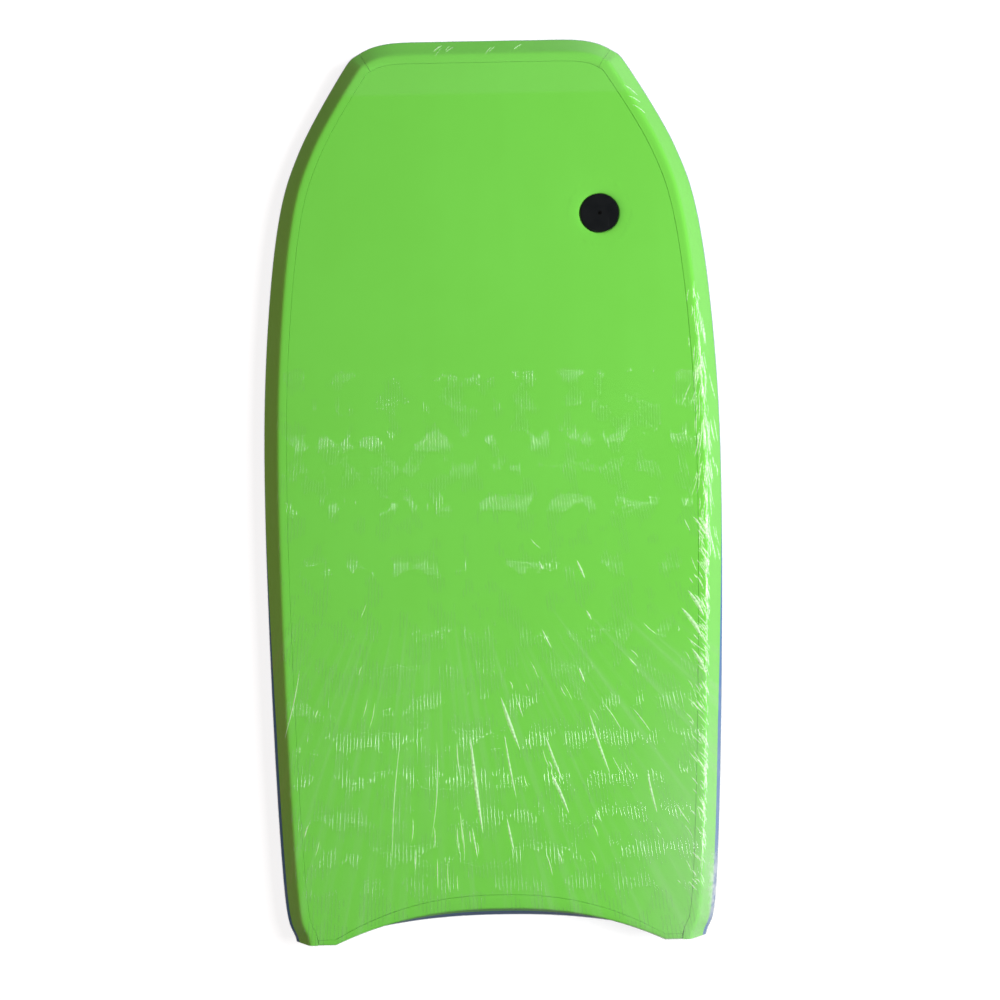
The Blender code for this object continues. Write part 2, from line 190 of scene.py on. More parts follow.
# Camera: straight above the deck, a little to the right of it.
CAMERA_PLACE = Vector((0.0600, -0.0104, 1.6514))
AIM = Vector((0.0079, -0.0104))
FRAME_WIDTH = 1.032
ROLL = math.radians(-1.06)

HORIZON = 0.88  # brightness of the horizon, about the same as the floor's
FLOOR_GLOW = 0.86
OVERHEAD = 0.06
BELOW = 0.22

# Lights: place, aim, size and radiance.
KEY = ((2.09, 0.33, 2.53), (0.0, 0.0, 0.0), (1.3, 1.3), 28.9)
FILL = ((-2.2, 0.0, 0.35), (0.0, 0.0, 0.03), (1.6, 0.5), 6.6)

# Rows of glints on the deck: place along the board, its range across it, and radiance.
TUBE_WIDTH = 0.021
TUBE_TURN = math.radians(1.6)
TUBE_ROWS = [
    (0.121, 0.040, 0.205, 13.3),
    (0.089, -0.020, 0.125, 7.3),
    (0.054, -0.140, 0.195, 12.0),
    (0.024, -0.100, 0.125, 5.3),
    (-0.013, -0.135, 0.115, 11.3),
    (-0.078, -0.140, 0.010, 12.0),
    (-0.148, 0.100, 0.195, 12.6),
    (-0.184, 0.100, 0.170, 12.0),
    (-0.219, -0.160, 0.195, 7.3),
    (-0.257, -0.175, 0.195, 8.7),
    (-0.296, -0.185, 0.195, 8.7),
    (-0.335, -0.090, 0.195, 7.8),
    (-0.374, -0.140, 0.195, 7.3),
    (-0.406, -0.090, 0.165, 4.3),
]


# Shape of the board, as in the CAD model.


def smooth_curve(points, spacing, least):
    first = points[0] * 2 - points[1]
    last = points[-1] * 2 - points[-2]
    padded = [first, *points, last]
    curve = []
    for a, b, c, d in zip(padded, padded[1:], padded[2:], padded[3:]):
        steps = max(least, round((c - b).length / spacing))
        for step in range(steps):
            t = step / steps
            bend = (2 * a - 5 * b + 4 * c - d) * t**2
            twist = (3 * b - a - 3 * c + d) * t**3
            curve.append((2 * b + (c - a) * t + bend + twist) / 2)
    curve.append(points[-1])
    return curve


def blended(normals, place):
    """The mean of a normal and its neighbours: lines drawn far inside a corner don't loop."""
    reach = min(3, place, len(normals) - 1 - place)
    near = normals[place - reach : place + reach + 1]
    return sum(near, Vector((0.0, 0.0))).normalized()


def side_stations():
    """The right half of the widest line and its outward normals."""
    line = smooth_curve([Vector(p) for p in SIDE_POINTS], SPACING, LEAST_STATIONS)
    normals = []
    for i in range(len(line)):
        ahead = line[min(i + 1, len(line) - 1)]
        behind = line[max(i - 1, 0)]
        along = (ahead - behind).normalized()
        normals.append(Vector((along.y, -along.x)))
    normals[-1] = Vector((0.0, 1.0))
    return line, [blended(normals, i) for i in range(len(line))]


SIDE_LINE, SIDE_NORMALS = side_stations()
NOSE_STATION = min(
    range(len(SIDE_LINE)),
    key=lambda i: (SIDE_LINE[i] - Vector(NOSE_JOINT)).length,
)


def rail_inset(height, depth=0.0):
    """Distance in from the widest line, with the section's corners rounded."""
    insets = []
    for (low_in, low), (high_in, high) in zip(RAIL_SECTION, RAIL_SECTION[1:]):
        run, rise = high_in - low_in, high - low
        stretch = math.hypot(run, rise) / rise
        insets.append(low_in + run * (height - low) / rise + depth * stretch)
    top = max(insets)
    return top + SOFTNESS * math.log(sum(math.exp((i - top) / SOFTNESS) for i in insets))


def crescent(x):
    return max(0.0, 1.0 - (abs(x) / CRESCENT_HALF) ** CRESCENT_POWER)


def tail_y(x, height):
    share = (height - SLICK_LOW) / (DECK_TOP - SLICK_LOW)
    tip = TIP_BOTTOM + (TIP_TOP - TIP_BOTTOM) * share
    depth = DEPTH_BOTTOM + (DEPTH_TOP - DEPTH_BOTTOM) * share
    return depth * crescent(x) - tip


def side_point(station, inset, height, tail_back=0.0):
    x, y = SIDE_LINE[station] - SIDE_NORMALS[station] * inset
    if station == 0:
        y = tail_y(x, height) + tail_back
    return Vector((x, y, height))


def mirrored(point):
    return Vector((-point.x, point.y, point.z))


def tail_xs(corner):
    outer = [corner + (CRESCENT_HALF - corner) * i / TIP_STEPS for i in range(TIP_STEPS)]
    inner = [CRESCENT_HALF * (1 - 2 * i / TAIL_STEPS) for i in range(TAIL_STEPS + 1)]
    return outer + inner + [-x for x in reversed(outer)]


def rim_width(x):
    return TIP_RIM + (CRESCENT_RIM - TIP_RIM) * crescent(x)


def outline(inset, height, tail_back=0.0, rim=False):
    count = len(SIDE_LINE)
    right = [side_point(i, inset, height, tail_back) for i in range(count)]
    corner = right[0].x
    tail = []
    for x in tail_xs(corner):
        back = tail_back + (rim_width(x) if rim else 0.0)
        tail.append(Vector((x, tail_y(x, height) + back, height)))
    left = [mirrored(p) for p in reversed(right[1:-1])]
    return right[1:] + left + list(reversed(tail))


def surface(height, depth):
    return outline(rail_inset(height, depth), height, depth)


def lifted(point):
    """The point with the nose's rocker added."""
    along = max(0.0, (point.y - ROCKER_START) / (NOSE - ROCKER_START))
    under = max(0.0, 1.0 - point.z / DECK_TOP)
    return Vector((point.x, point.y, point.z + ROCKER_RISE * along**2 * under))


# Making meshes.


def join_loops(bm, rows):
    for low, high in zip(rows, rows[1:]):
        for i in range(len(low)):
            j = (i + 1) % len(low)
            bm.faces.new((low[i], low[j], high[j], high[i]))


def fill(bm, *loops):
    """A flat cap inside the first loop, with the second one as a hole in it."""
    edges = []
    for loop in loops:
        for a, b in zip(loop, loop[1:] + loop[:1]):
            edges.append(bm.edges.get((a, b)) or bm.edges.new((a, b)))
    bmesh.ops.triangle_fill(bm, edges=edges, use_beauty=True)


def corners(bm, loops):
    return [[bm.verts.new(p) for p in loop] for loop in loops]


def lift_nose(bm):
    """Cut the flat faces across at the nose, so that they can bend, and add the rocker."""
    for row in range(ROCKER_ROWS):
        y = ROCKER_START + (NOSE - ROCKER_START) * row / ROCKER_ROWS
        parts = bm.verts[:] + bm.edges[:] + bm.faces[:]
        bmesh.ops.bisect_plane(
            bm, geom=parts, dist=1e-6, plane_co=(0, y, 0), plane_no=(0, 1, 0)
        )
    for vert in bm.verts:
        vert.co = lifted(vert.co)


def finish(name, bm, look, replaced=(), body="board", sharp=40.0, closed=True):
    """Make the piece, let it ride on its body and hide the CAD nodes it stands for."""
    if closed:
        bmesh.ops.recalc_face_normals(bm, faces=bm.faces)
    mesh = bpy.data.meshes.new(name)
    bm.to_mesh(mesh)
    bm.free()
    mesh.shade_smooth()
    mesh.set_sharp_from_angle(angle=math.radians(sharp))
    mesh.materials.append(look)
    piece = bpy.data.objects.new(name, mesh)
    bpy.context.scene.collection.objects.link(piece)
    if body:
        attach(piece, body)
    if replaced:
        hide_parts(*replaced)
    return piece


def layered_solid(loops, turned):
    """A sheet with an outer edge in loops and a round hole in loops, both from low to high."""
    bm = bmesh.new()
    rows = corners(bm, loops)
    join_loops(bm, rows)
    hole = corners(bm, turned)
    join_loops(bm, hole)
    fill(bm, rows[0], hole[0])
    fill(bm, rows[-1], hole[-1])
    lift_nose(bm)
    return bm


def strip(sections):
    """A skin swept through its sections, closed at both ends."""
    bm = bmesh.new()
    rows = corners(bm, [[lifted(p) for p in section] for section in sections])
    join_loops(bm, rows)
    fill(bm, rows[0])
    fill(bm, rows[-1])
    return bm


def circle(radius, height):
    turns = [2 * math.pi * i / ROUND for i in range(ROUND)]
    return [
        PLUG + Vector((radius * math.cos(a), radius * math.sin(a), height)) for a in turns
    ]


# Foam skins and slick.


def deck_sheet(look):
    """The green deck sheet, with soft edges and the dimple that the plug presses into it."""
    low = DECK_TOP - SKIN
    edge = [
        (DECK_INSET + GAP, low),
        (DECK_INSET + SEAM_GAP, DECK_TOP - 0.0005),
        (DECK_INSET + SEAM_GAP + 0.0001, DECK_TOP - 0.0001),
        (DECK_INSET + SEAM_GAP + 0.0002, DECK_TOP),
    ]
    loops = [outline(inset, z, inset - DECK_INSET - GAP, rim=True) for inset, z in edge]
    seat = [
        (DIMPLE_RADIUS, low),
        (0.0262, low - 0.0004),
        (0.0212, 0.0446),
        (PLUG_BORE, 0.0446),
        (PLUG_BORE, 0.0476),
        (0.0204, 0.0476),
        (0.0205, 0.0492),
        (0.0208, 0.0499),
        (0.0214, 0.0503),
        (0.0224, 0.0506),
        (0.0240, 0.05095),
        (0.0262, 0.0512),
        (0.0290, 0.05133),
        (DIMPLE_RADIUS, DECK_TOP),
    ]
    hole = [circle(radius, z) for radius, z in seat]
    bm = layered_solid(loops, hole)
    finish("deck_sheet", bm, look, ["deck_skin"], sharp=30.0)


def slick_sheet(look):
    """The slick under the board, pressed in round the lower half of the plug."""
    edge = [
        (0.0010, SLICK_LOW),
        (0.0003, SLICK_LOW + 0.0002),
        (0.0000, SLICK_LOW + 0.0007),
        (0.0000, SLICK_HIGH - 0.0004),
        (0.0004, SLICK_HIGH),
    ]
    loops = [outline(rail_inset(z) + back, z, back) for back, z in edge]
    seat = [
        (DIMPLE_RADIUS, SLICK_LOW),
        (0.0262, SLICK_LOW + 0.0008),
        (0.0232, 0.0030),
        (0.0214, 0.0044),
        (PLUG_BORE, 0.0044),
        (PLUG_BORE, 0.0059),
        (0.0210, 0.0059),
        (0.0256, SLICK_HIGH + 0.0008),
        (DIMPLE_RADIUS, SLICK_HIGH),
    ]
    hole = [circle(radius, z) for radius, z in seat]
    finish("slick_sheet", layered_solid(loops, hole), look, ["slick_bottom"])


def heights_between(low, high, count):
    """Heights that crowd towards both ends, where the section's edges are rounded."""
    shares = [0.5 - 0.5 * math.cos(math.pi * i / (count - 1)) for i in range(count)]
    return [low + (high - low) * share for share in shares]


def seam_height(station):
    """The blue skin is rolled a little higher up the rail towards the tail."""
    share = (SIDE_LINE[station].y - SEAM_LOW_FROM) / (SEAM_HIGH_FROM - SEAM_LOW_FROM)
    return SEAM_LOW + (RAIL_SEAM - SEAM_LOW) * min(1.0, max(0.0, share))


def upper_places(station):
    """The upper skin in section, as (inset, height), with soft edges at both seams."""
    low, under = seam_height(station) + GAP, DECK_TOP - SKIN
    places = [(rail_inset(low) + 0.0005, low)]
    places += [(rail_inset(z), z) for z in heights_between(low + 0.0004, DECK_TOP, SECTION_STEPS)]
    places += [
        (DECK_INSET - 0.0042, DECK_TOP),
        (DECK_INSET - 0.0003, DECK_TOP),
        (DECK_INSET - 0.0001, DECK_TOP - 0.0002),
        (DECK_INSET, DECK_TOP - 0.0005),
        (DECK_INSET, under),
    ]
    places += [(rail_inset(z, SKIN), z) for z in (under, 0.0458, low - 0.0030)]
    return places


def lower_places(station):
    """The lower skin in section, as (inset, height)."""
    low, seam = CORE_LOW, seam_height(station)
    outside = heights_between(low + 0.0004, seam - 0.0004, SECTION_STEPS)
    places = [(rail_inset(low) + 0.0005, low)]
    places += [(rail_inset(z), z) for z in outside]
    places.append((rail_inset(seam) + 0.0005, seam))
    inside = heights_between(seam - 0.0030, low, 9)
    places += [(rail_inset(z, SKIN), z) for z in inside]
    return places


def section(station, places, slide=0.0):
    along = Vector((-SIDE_NORMALS[station].y, SIDE_NORMALS[station].x, 0.0))
    return [side_point(station, *place) + along * slide for place in places(station)]


def rail_strips(half, places, look):
    sections = [section(i, places) for i in range(NOSE_STATION)]
    sections.append(section(NOSE_STATION, places, -GAP / 2))
    flipped = [[mirrored(p) for p in points] for points in sections]
    for side, points in (("right", sections), ("left", flipped)):
        name = f"{half}_rail_{side}"
        finish(f"{name}_skin", strip(points), look, [name])


def nose_strip(half, places, look):
    last = len(SIDE_LINE) - 1
    right = [section(NOSE_STATION, places, GAP / 2)]
    right += [section(i, places) for i in range(NOSE_STATION + 1, last + 1)]
    left = [[mirrored(p) for p in points] for points in reversed(right[:-1])]
    finish(f"nose_{half}_skin", strip(right + left), look, [f"nose_strip_{half}"])


def tail_strip(half, places, look):
    """Each place is (where its depth starts, depth, height, inset of the rail beside it)."""
    sections = []
    for column in range(len(tail_xs(1.0))):
        points = []
        for start, depth, height, inset in places:
            x = tail_xs(side_point(0, inset + GAP, height).x)[column]
            back = rim_width(x) - GAP + depth if start == "rim" else depth
            points.append(Vector((x, tail_y(x, height) + back, height)))
        sections.append(points)
    finish(f"tail_{half}_skin", strip(sections), look, [f"tail_strip_{half}"])


def upper_tail_places():
    low, under, core = RAIL_SEAM + GAP, DECK_TOP - SKIN, DECK_TOP - SKIN - GAP
    return [
        ("edge", 0.0004, low, rail_inset(low, SKIN)),
        ("edge", 0.0, low + 0.0005, rail_inset(low, SKIN)),
        ("edge", 0.0, core, rail_inset(core, SKIN)),
        ("edge", 0.0, under, DECK_INSET),
        ("edge", 0.0, DECK_TOP - 0.0022, DECK_INSET),
        ("edge", 0.00025, DECK_TOP - 0.0011, DECK_INSET),
        ("edge", 0.0008, DECK_TOP - 0.0004, DECK_INSET),
        ("edge", 0.0018, DECK_TOP, DECK_INSET),
        ("rim", -0.0003, DECK_TOP, DECK_INSET),
        ("rim", -0.0001, DECK_TOP - 0.0002, DECK_INSET),
        ("rim", 0.0, DECK_TOP - 0.0005, DECK_INSET),
        ("rim", 0.0, under, DECK_INSET),
        ("edge", SKIN, under, DECK_INSET),
        ("edge", SKIN, core, rail_inset(core, SKIN)),
        ("edge", SKIN, low, rail_inset(low, SKIN)),
    ]


def lower_tail_places():
    levels = [CORE_LOW, 0.0090, 0.0160, 0.0215, 0.0235, 0.0255]
    outside = [*levels, RAIL_SEAM - 0.0005]
    inside = [RAIL_SEAM, *reversed(levels)]
    places = [("edge", 0.0, z, rail_inset(z, SKIN)) for z in outside]
    places.append(("edge", 0.0004, RAIL_SEAM, rail_inset(RAIL_SEAM, SKIN)))
    return places + [("edge", SKIN, z, rail_inset(z, SKIN)) for z in inside]


# Materials.


class Nodes:
    """Short ways to add and link the nodes of one material."""

    def __init__(self, name):
        self.material = bpy.data.materials.new(name)
        self.material.use_nodes = True
        self.tree = self.material.node_tree
        self.tree.nodes.clear()
        self.output = self.tree.nodes.new("ShaderNodeOutputMaterial")
        self.place = self.tree.nodes.new("ShaderNodeTexCoord").outputs["Object"]

    def add(self, kind, **settings):
        node = self.tree.nodes.new(kind)
        for name, value in settings.items():
            setattr(node, name, value)
        return node

    def put(self, value, socket):
        """Link a node's output, or set a plain number or colour."""
        if isinstance(value, bpy.types.NodeSocket):
            self.tree.links.new(value, socket)
        else:
            socket.default_value = value

    def math(self, operation, *values):
        node = self.add("ShaderNodeMath", operation=operation)
        for value, socket in zip(values, node.inputs):
            self.put(value, socket)
        return node.outputs[0]

    def product(self, first, second):
        return self.math("MULTIPLY", first, second)

    def total(self, first, *others):
        for other in others:
            first = self.math("ADD", first, other)
        return first

    def stretched(self, scale, turn=0.0):
        node = self.add("ShaderNodeMapping")
        node.inputs["Scale"].default_value = scale
        node.inputs["Rotation"].default_value = (0.0, 0.0, turn)
        self.put(self.place, node.inputs["Vector"])
        return node.outputs[0]

    def noise(self, vector, scale, detail=2.0, roughness=0.5):
        node = self.add("ShaderNodeTexNoise")
        self.put(vector, node.inputs["Vector"])
        node.inputs["Scale"].default_value = scale
        node.inputs["Detail"].default_value = detail
        node.inputs["Roughness"].default_value = roughness
        return node.outputs["Fac"]

    def ramp(self, value, low, high, to_low=0.0, to_high=1.0):
        """The value eased from one range into another."""
        node = self.add("ShaderNodeMapRange", interpolation_type="SMOOTHSTEP")
        self.put(value, node.inputs["Value"])
        node.inputs["From Min"].default_value = low
        node.inputs["From Max"].default_value = high
        node.inputs["To Min"].default_value = to_low
        node.inputs["To Max"].default_value = to_high
        return node.outputs[0]

    def joined(self, x, y):
        node = self.add("ShaderNodeCombineXYZ")
        self.put(x, node.inputs["X"])
        self.put(y, node.inputs["Y"])
        return node.outputs[0]

    def leaning(self, slope_x, slope_y):
        """The surface's normal, tipped along X and Y by the given slopes."""
        tipped = self.add("ShaderNodeVectorMath", operation="ADD")
        self.put(self.add("ShaderNodeNewGeometry").outputs["Normal"], tipped.inputs[0])
        self.put(self.joined(slope_x, slope_y), tipped.inputs[1])
        unit = self.add("ShaderNodeVectorMath", operation="NORMALIZE")
        self.put(tipped.outputs[0], unit.inputs[0])
        return unit.outputs[0]

    def mix_shader(self, share, first, second):
        node = self.add("ShaderNodeMixShader")
        self.put(share, node.inputs[0])
        self.tree.links.new(first.outputs[0], node.inputs[1])
        self.tree.links.new(second.outputs[0], node.inputs[2])
        return node

    def mix_color(self, share, first, second):
        node = self.add("ShaderNodeMix", data_type="RGBA")
        self.put(share, node.inputs["Factor"])
        self.put(first, node.inputs["A"])
        self.put(second, node.inputs["B"])
        return node.outputs["Result"]

    def bump(self, height, distance, strength, under=None):
        node = self.add("ShaderNodeBump")
        node.inputs["Distance"].default_value = distance
        node.inputs["Strength"].default_value = strength
        self.put(height, node.inputs["Height"])
        if under is not None:
            self.put(under, node.inputs["Normal"])
        return node.outputs[0]

    def principled(self, color, roughness, normal=None, specular=0.5):
        node = self.add("ShaderNodeBsdfPrincipled")
        self.put(color, node.inputs["Base Color"])
        self.put(roughness, node.inputs["Roughness"])
        node.inputs["Specular IOR Level"].default_value = specular
        if normal is not None:
            self.put(normal, node.inputs["Normal"])
        return node

    def finish(self, shader):
        self.tree.links.new(shader, self.output.inputs["Surface"])
        return self.material


def foam_material(name, color, shade):
    """Closed-cell foam skin: fine cells, a soft mottle and long streaks from the extrusion."""
    n = Nodes(name)
    mottle = n.noise(n.place, 9.0, 4.0, 0.6)
    streak = n.noise(n.stretched((60.0, 2.5, 60.0)), 1.0, 3.0, 0.6)
    cells = n.noise(n.place, 1400.0, 3.0, 0.7)
    blend = n.total(n.product(mottle, 0.7), n.product(streak, 0.3))
    tone = n.mix_color(n.ramp(blend, 0.35, 0.65), (*color, 1.0), (*shade, 1.0))
    speck = n.ramp(cells, 0.62, 0.78, 0.0, 0.22)
    tone = n.mix_color(speck, tone, (*[c * 0.72 for c in shade], 1.0))
    rough = n.ramp(mottle, 0.3, 0.7, FOAM_ROUGHNESS - 0.06, FOAM_ROUGHNESS + 0.06)
    soft = n.bump(mottle, 0.0009, 0.25)
    normal = n.bump(cells, 0.00012, 0.5, soft)
    shader = n.principled(tone, rough, normal, specular=0.25)
    return n.finish(shader.outputs[0])


def bead_material():
    """Expanded beads pressed together, with a fine groove round each that is also painted grey as
    shade.
    """
    n = Nodes("white_beads")
    beads = n.add("ShaderNodeTexVoronoi", feature="DISTANCE_TO_EDGE")
    beads.inputs["Scale"].default_value = 260.0
    n.put(n.place, beads.inputs["Vector"])
    edge = n.ramp(beads.outputs["Distance"], 0.0, 0.12)
    # Painted shade: the colour turns grey in the grooves between the beads.
    tone = n.mix_color(edge, (0.62, 0.63, 0.62, 1.0), (0.88, 0.89, 0.88, 1.0))
    normal = n.bump(edge, 0.0004, 0.6)
    rough = n.ramp(edge, 0.0, 1.0, 0.9, 0.7)
    return n.finish(n.principled(tone, rough, normal, specular=0.3).outputs[0])


def slick_material():
    """Hard polyethylene sheet with the faint grain of its rollers and fine scuffs."""
    n = Nodes("blue_slick")
    grain = n.noise(n.place, 700.0, 2.0)
    scuff = n.noise(n.stretched((900.0, 14.0, 900.0), 0.12), 1.0, 2.0)
    cloud = n.noise(n.place, 6.0, 3.0)
    tone = n.mix_color(n.ramp(cloud, 0.3, 0.7), (0.10, 0.34, 0.70, 1.0), (0.13, 0.39, 0.76, 1.0))
    tone = n.mix_color(n.ramp(scuff, 0.64, 0.76, 0.0, 0.3), tone, (0.32, 0.55, 0.84, 1.0))
    rough = n.ramp(scuff, 0.35, 0.75, 0.24, 0.42)
    normal = n.bump(grain, 0.00008, 0.5)
    return n.finish(n.principled(tone, rough, normal).outputs[0])


def plug_material():
    """Black moulded plastic: fine spark texture, slight sink marks and a few scratches."""
    n = Nodes("black_plastic")
    spark = n.noise(n.place, 2600.0, 2.0)
    cloud = n.noise(n.place, 90.0, 3.0)
    scratch = n.noise(n.stretched((1500.0, 40.0, 40.0), 0.7), 1.0, 1.0)
    dark, light = (0.002, 0.003, 0.004, 1.0), (0.004, 0.005, 0.006, 1.0)
    tone = n.mix_color(n.ramp(cloud, 0.3, 0.7), dark, light)
    tone = n.mix_color(n.ramp(scratch, 0.74, 0.8, 0.0, 0.5), tone, (0.05, 0.055, 0.06, 1.0))
    rough = n.ramp(cloud, 0.3, 0.7, 0.32, 0.46)
    normal = n.bump(spark, 0.00005, 0.4)
    return n.finish(n.principled(tone, rough, normal, specular=0.15).outputs[0])


def seal_material():
    """Dark closed-cell foam, as in a gasket."""
    n = Nodes("seal_foam")
    cells = n.noise(n.place, 1800.0, 3.0, 0.7)
    light, dark = (0.03, 0.03, 0.032, 1.0), (0.014, 0.014, 0.015, 1.0)
    tone = n.mix_color(n.ramp(cells, 0.4, 0.7), light, dark)
    rough = n.ramp(cells, 0.3, 0.7, 0.8, 0.95)
    normal = n.bump(cells, 0.0002, 0.6)
    return n.finish(n.principled(tone, rough, normal, specular=0.2).outputs[0])


def film_ridges(n, column, along):
    """Fine ridges in columns: the wave across them, and the normal that they tip."""
    bends = n.joined(n.product(column, 34.0), n.product(along, 4.0))
    wander = n.noise(bends, 1.0)
    phase = n.total(n.product(column, RIDGE_RATE), n.product(wander, 6.0))
    wave = n.math("SINE", phase)
    slope = n.product(wave, RIDGE_SLOPE)
    fine = n.noise(n.joined(n.product(column, 240.0), n.product(along, 6.0)), 1.0)
    broad = n.noise(n.place, 9.0)
    broad_sag = n.product(n.math("SUBTRACT", broad, 0.5), 0.005)
    fine_sag = n.product(n.math("SUBTRACT", fine, 0.5), 0.004)
    return wave, n.leaning(slope, n.total(broad_sag, fine_sag))


def loose_patches(n, across, along, height):
    """Where the film is loose: nowhere in the front third, then in patches, few in the middle."""
    patches = n.noise(n.joined(n.product(across, 42.0), n.product(along, 34.0)), 1.0, 2.0)
    from_middle = n.math("ABSOLUTE", n.math("ADD", along, 0.080))
    slack = n.total(
        n.ramp(along, 0.135, 0.120, -0.30, 0.02),
        n.ramp(along, 0.02, -0.22, -0.03, -0.004),
        n.ramp(from_middle, 0.030, 0.055, -0.035, 0.0),
    )
    loose = n.ramp(n.math("ADD", patches, slack), 0.50, 0.54)
    return n.product(loose, n.ramp(height, DECK_TOP - 0.0020, DECK_TOP - 0.0005))


def film_haze(n, across, along, height, behind, turn, crests):
    """Whiter film in streaks of the fan, on the right rail and where it is bunched, plus painted
    light: a reflection at the right tail corner, haze on the crests and a lighter nose.
    """
    long_streaks = n.joined(n.product(turn, 44.0), n.product(behind, 2.5))
    streaks = n.product(n.noise(long_streaks, 1.0, 3.0, 0.55), n.ramp(behind, 0.02, 0.25))
    # Painted light: crests × 0.35 whitens the film where its sharp gloss takes a share, so that
    # those patches don't look darker.
    cloud = n.total(n.ramp(streaks, 0.42, 0.78, 0.003, 0.070), n.product(crests, 0.35))
    rail = n.ramp(height, DECK_TOP - 0.0040, DECK_TOP, 0.070, 0.0)
    on_rail = n.product(rail, n.ramp(across, 0.0, 0.15))
    # Painted reflection: white haze towards the right tail corner stands for bright light mirrored
    # in the film there.
    towards_tail = n.ramp(along, -0.10, -0.42, 0.0, 0.12)
    painted_corner_glare = n.product(n.ramp(across, 0.10, 0.23), towards_tail)
    bunched = n.product(n.ramp(across, 0.214, 0.224), n.ramp(along, -0.365, -0.415))
    bunched = n.product(bunched, n.ramp(n.noise(n.place, 130.0), 0.35, 0.60, 0.06, 0.30))
    # Painted light: a faint white haze over the nose, which makes the nose look more brightly lit.
    painted_nose_light = n.ramp(along, 0.408, 0.413, 0.0, 0.022)
    haze = n.total(n.total(cloud, on_rail), n.total(painted_corner_glare, bunched))
    return n.total(haze, painted_nose_light)


def film_material():
    """Clear shrink film. It clings to the foam in places, and in the loose patches between them it
    keeps fine sharp ridges, which run along the board and fan out towards the tail."""
    n = Nodes("clear_film")
    axes = n.add("ShaderNodeSeparateXYZ")
    n.put(n.place, axes.inputs[0])
    across, along, height = axes.outputs
    from_centre = n.math("SUBTRACT", across, FAN_CENTRE.x)
    behind = n.math("SUBTRACT", FAN_CENTRE.y, along)
    turn = n.math("ARCTAN2", from_centre, behind)
    widening = n.total(n.product(n.math("MAXIMUM", behind, 0.0), 0.8), 1.0)
    column = n.math("DIVIDE", from_centre, widening)

    wave, normal = film_ridges(n, column, along)
    loose = loose_patches(n, across, along, height)
    crests = n.product(n.ramp(n.math("ABSOLUTE", wave), 0.25, 0.45, 0.10, 0.006), loose)
    haze = film_haze(n, across, along, height, behind, turn, crests)

    clear = n.add("ShaderNodeBsdfTransparent")
    clear.inputs["Color"].default_value = (0.985, 0.99, 0.985, 1.0)
    cloudy = n.add("ShaderNodeBsdfDiffuse")
    cloudy.inputs["Color"].default_value = (0.9, 0.92, 0.9, 1.0)
    tight_gloss = n.add("ShaderNodeBsdfGlossy")
    tight_gloss.inputs["Roughness"].default_value = 0.55
    loose_gloss = n.add("ShaderNodeBsdfGlossy")
    loose_gloss.inputs["Roughness"].default_value = 0.05
    n.put(normal, loose_gloss.inputs["Normal"])
    edge_on = n.math("POWER", n.add("ShaderNodeLayerWeight").outputs["Facing"], 5.0)
    sheen = n.total(n.product(edge_on, 0.35), 0.004)
    film = n.mix_shader(sheen, n.mix_shader(haze, clear, cloudy), tight_gloss)
    return n.finish(n.mix_shader(crests, film, loose_gloss).outputs[0])


# Film.


def sheet_loops(levels, middle, steps, lift):
    """Outer loops at the given heights, then flat ones that draw in towards the middle."""
    rows = [surface(z, -lift) for z in levels]
    outer = rows[-1]
    for step in range(1, steps + 1):
        share = 1.0 - (1.0 - INNERMOST) * step / steps
        rows.append([Vector((p.x * share, p.y * share, middle)) for p in outer])
    return rows


def film_sheet(name, rows, look, node, hole=0.0):
    """One open sheet. The film over the leash plug is a piece of its own, in the hole."""
    bm = bmesh.new()
    join_loops(bm, corners(bm, rows))
    if hole:
        under_plug = [v for v in bm.verts if (v.co.xy - PLUG.xy).length < hole]
        bmesh.ops.delete(bm, geom=under_plug, context="VERTS")
    lift_nose(bm)
    return finish(name, bm, look, [node], closed=False)


def film_over(look):
    levels = heights_between(FILM_SEAM - FILM_OVERLAP, DECK_TOP + FILM_LIFT, 30)
    rows = sheet_loops(levels, DECK_TOP + FILM_LIFT, 60, FILM_LIFT)
    return film_sheet("film_wrap_top", rows, look, "film_top", hole=PATCH_RADIUS - PATCH_OVERLAP)


def film_under(look):
    """The lower sheet. Its loops run from the middle out, so that its normals point down."""
    levels = heights_between(FLOOR_LIFT, FILM_SEAM + FILM_OVERLAP, 16)
    rows = sheet_loops(list(reversed(levels)), FLOOR_LIFT, 29, FILM_LIFT + 0.0001)
    film_sheet("film_wrap_bottom", list(reversed(rows)), look, "film_bottom")


def plug_film(look):
    """The film stretched over the disc, reaching past its rim onto the deck."""
    bm = bmesh.new()
    ring = [
        (0.0004, DISC_TOP + FILM_LIFT),
        (0.0100, DISC_TOP + FILM_LIFT),
        (DISC_RADIUS - 0.0012, DISC_TOP + FILM_LIFT),
        (DISC_RADIUS + 0.0002, DISC_TOP + FILM_LIFT - 0.0002),
        (0.0225, DECK_TOP + FILM_LIFT + 0.0004),
        (0.0260, DECK_TOP + FILM_LIFT + 0.00015),
        (PATCH_RADIUS, DECK_TOP + FILM_LIFT + 0.00005),
    ]
    join_loops(bm, corners(bm, [circle(radius, height) for radius, height in ring]))
    piece = finish("plug_film", bm, look, body=None, closed=False)
    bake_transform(piece)


